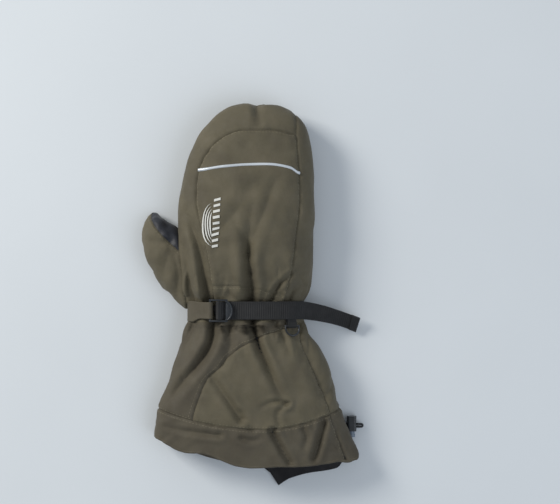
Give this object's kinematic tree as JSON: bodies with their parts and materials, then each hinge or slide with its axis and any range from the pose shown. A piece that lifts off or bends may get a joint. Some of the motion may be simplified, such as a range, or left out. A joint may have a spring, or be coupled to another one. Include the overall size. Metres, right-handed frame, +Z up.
{
  "type": "ski mitten",
  "caption": "Insulated right-hand mitten with a thumb, a wide gauntlet cuff, a wrist strap with a ladder-lock buckle, a D-ring and a hem drawcord with a cord lock.",
  "frame": {"origin": "on the floor under the middle of the whole mitten's length and width, as it lies palm down", "axes": "+X from the thumb side to the little finger side, +Y from the mouth to the fingertips, +Z up, out of the back of the hand"},
  "size_m": [0.2412, 0.3858, 0.0593],
  "materials": {
    "shell_fabric": "matt olive woven nylon with a water-repellent finish",
    "grip_fabric": "black brushed synthetic grip fabric",
    "reflective_tape": "silver-white reflective piping",
    "emblem_print": null,
    "elastic": "black woven elastic",
    "lining_fabric": "black fleece",
    "insulation": "grey polyester wadding",
    "insert_film": "thin waterproof membrane",
    "webbing": "black ribbed nylon webbing",
    "elastic_cord": "black braided elastic cord",
    "moulded_plastic": "black moulded acetal",
    "plunger_plastic": "blue-grey moulded acetal",
    "spring_steel": "bright spring wire"
  },
  "bodies": {
    "hand": {"back_panel": "shell_fabric", "fingertip_yoke": "shell_fabric", "thumb_side_wall": "shell_fabric", "thumb_side_wall_lower": "shell_fabric", "pinky_side_wall": "shell_fabric", "palm_patch_upper": "grip_fabric", "palm_patch_lower": "grip_fabric", "reflective_piping": "reflective_tape", "back_emblem": "emblem_print", "wrist_back_panel": "shell_fabric", "wrist_palm_panel": "shell_fabric", "wrist_elastic": "elastic", "wrist_lining": "lining_fabric", "throat_back_panel": "shell_fabric", "throat_palm_panel": "shell_fabric", "throat_lining": "lining_fabric", "hand_insulation_back": "insulation", "hand_insulation_palm": "insulation", "waterproof_insert": "insert_film", "hand_lining": "lining_fabric", "thumb_gusset": "grip_fabric", "wrist_strap": "webbing", "wrist_strap_turn": "webbing", "strap_anchor_patch": "webbing", "buckle_tab": "shell_fabric", "d_ring_tab": "webbing"},
    "gauntlet": {"gauntlet_back_thumb_side": "shell_fabric", "gauntlet_back_pinky_side": "shell_fabric", "gauntlet_side_strip": "shell_fabric", "gauntlet_palm_panel": "shell_fabric", "hem_band_back": "shell_fabric", "hem_band_palm": "shell_fabric", "hem_binding": "lining_fabric", "gauntlet_lining": "lining_fabric", "drawcord": "elastic_cord", "drawcord_loop": "elastic_cord", "drawcord_anchor": "webbing"},
    "thumb": {"thumb_back_panel": "shell_fabric", "thumb_inner_patch": "grip_fabric", "thumb_grip_patch": "grip_fabric", "thumb_insulation": "insulation", "thumb_lining": "lining_fabric"},
    "buckle": {"ladder_lock_buckle": "moulded_plastic"},
    "strap_tail": {"wrist_strap_tail": "webbing", "strap_stop": "webbing"},
    "d_ring": {"d_ring": "moulded_plastic"},
    "cord_lock": {"cord_lock_body": "moulded_plastic", "cord_lock_spring": "spring_steel"},
    "plunger": {"cord_lock_plunger": "plunger_plastic"}
  },
  "joints": [
    {"name": "wrist_flex", "type": "hinge", "parent": "hand", "child": "gauntlet", "pos_m": [-0.00348, -0.05181, 0.022], "axis": [-1, 0, 0], "range_deg": [-20, 20], "deforming": ["throat_back_panel", "throat_palm_panel", "throat_lining"]},
    {"name": "thumb_fold", "type": "hinge", "parent": "hand", "child": "thumb", "pos_m": [-0.07913, 0.02219, 0.002], "axis": [0.1546, -0.988, 0], "range_deg": [0, 40], "deforming": ["thumb_gusset"]},
    {"name": "buckle_tilt", "type": "hinge", "parent": "hand", "child": "buckle", "pos_m": [-0.04285, -0.02381, 0.04692], "axis": [0, -1, 0], "range_deg": [0, 20], "deforming": ["wrist_strap_turn"]},
    {"name": "strap_pull", "type": "slide", "parent": "hand", "child": "strap_tail", "axis": [0.9918, 0, 0.1277], "range_m": [0, 0.012]},
    {"name": "d_ring_swing", "type": "hinge", "parent": "hand", "child": "d_ring", "pos_m": [0.04327, -0.03999, 0.04123], "axis": [-0.9271, 0, 0.3748], "range_deg": [0, 95]},
    {"name": "cord_lock_slide", "type": "slide", "parent": "gauntlet", "child": "cord_lock", "axis": [1, 0, 0], "range_m": [0, 0.005]},
    {"name": "plunger_press", "type": "slide", "parent": "cord_lock", "child": "plunger", "axis": [0, 1, 0], "range_m": [0, 0.003], "stiffness_N_per_m": 600, "springref_m": -0.002, "deforming": ["cord_lock_spring"]}
  ]
}
